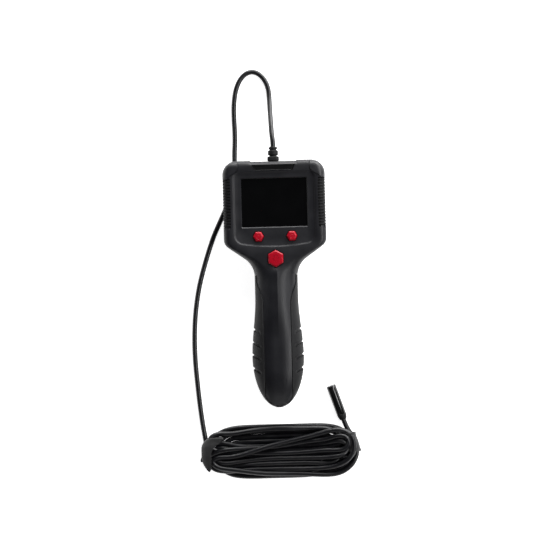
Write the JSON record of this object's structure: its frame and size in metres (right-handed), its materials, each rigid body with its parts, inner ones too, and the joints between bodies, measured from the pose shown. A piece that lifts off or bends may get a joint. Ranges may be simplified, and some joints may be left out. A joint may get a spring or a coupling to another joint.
{
  "type": "inspection camera",
  "caption": "Hand-held inspection camera with a screen, red buttons, a long probe cable coiled in a strapped hank and a slim lit camera head.",
  "frame": {"origin": "centre of the housing's footprint at its underside, on the surface it lies on", "axes": "+X across the screen, +Y along the housing towards the cable end, +Z the way the screen faces"},
  "size_m": [0.1391, 0.3447, 0.0335],
  "materials": {
    "housing_plastic": "fine moulded texture",
    "soft_grip": "matt rubber",
    "guard_plastic": "satin moulded texture",
    "name_plate": "gloss black",
    "screen_glass": "gloss dark screen window",
    "lcd_black": "matt black",
    "sheet_metal": "plated sheet",
    "ribbon": "amber film",
    "circuit_board": "green solder mask",
    "chip_black": "moulded black",
    "plug_plastic": "ivory",
    "button_red": "satin red",
    "screw_steel": "zinc plated",
    "cell_wrap": "plain wrap",
    "inner_plastic": "black",
    "wire": "red insulation",
    "cable_jacket": "semi-gloss black",
    "strap_fabric": "hook and loop tape",
    "sleeve_black": "gloss black",
    "window_glass": "clear",
    "led": "phosphor yellow"
  },
  "bodies": {
    "handset": {"rear_shell": "housing_plastic", "front_shell": "housing_plastic", "left_grip": "soft_grip", "right_grip": "soft_grip", "left_corner_guard": "guard_plastic", "right_corner_guard": "guard_plastic", "left_side_ribs": "soft_grip", "right_side_ribs": "soft_grip", "name_plate": "name_plate", "screen_lens": "screen_glass", "lens_gasket": "lcd_black", "lcd_panel": "lcd_black", "lcd_frame": "sheet_metal", "lcd_ribbon": "ribbon", "main_board": "circuit_board", "board_chips": "chip_black", "board_plugs": "plug_plastic", "board_screws": "screw_steel", "tact_switches": "chip_black", "shell_screws": "screw_steel", "battery_cells": "cell_wrap", "bay_roof": "inner_plastic", "battery_springs": "sheet_metal", "contact_plates": "sheet_metal", "battery_wires": "wire", "inner_cable": "cable_jacket", "cable_clamp": "inner_plastic", "clamp_screws": "screw_steel", "cable_boot": "soft_grip", "cable_lead": "cable_jacket", "cable_hank": "cable_jacket", "cable_tail": "cable_jacket", "hank_strap": "strap_fabric", "end_strap": "strap_fabric", "probe_sleeve": "sleeve_black", "probe_boot": "soft_grip", "probe_window": "window_glass", "led_board": "circuit_board", "probe_leds": "led", "image_sensor": "chip_black", "sensor_lens": "window_glass"},
    "left_button": {"left_button": "button_red"},
    "right_button": {"right_button": "button_red"},
    "power_button": {"power_button": "button_red"},
    "battery_door": {"battery_door": "housing_plastic"}
  },
  "joints": [
    {"name": "left_button_press", "type": "slide", "parent": "handset", "child": "left_button", "axis": [0, 0, -1], "range_m": [0, 0.0006], "stiffness_N_per_m": 1500},
    {"name": "right_button_press", "type": "slide", "parent": "handset", "child": "right_button", "axis": [0, 0, -1], "range_m": [0, 0.0006], "stiffness_N_per_m": 1500},
    {"name": "power_button_press", "type": "slide", "parent": "handset", "child": "power_button", "axis": [0, 0, -1], "range_m": [0, 0.0006], "stiffness_N_per_m": 1500},
    {"name": "door_slide", "type": "slide", "parent": "handset", "child": "battery_door", "axis": [0, -1, 0], "range_m": [0, 0.01]}
  ]
}
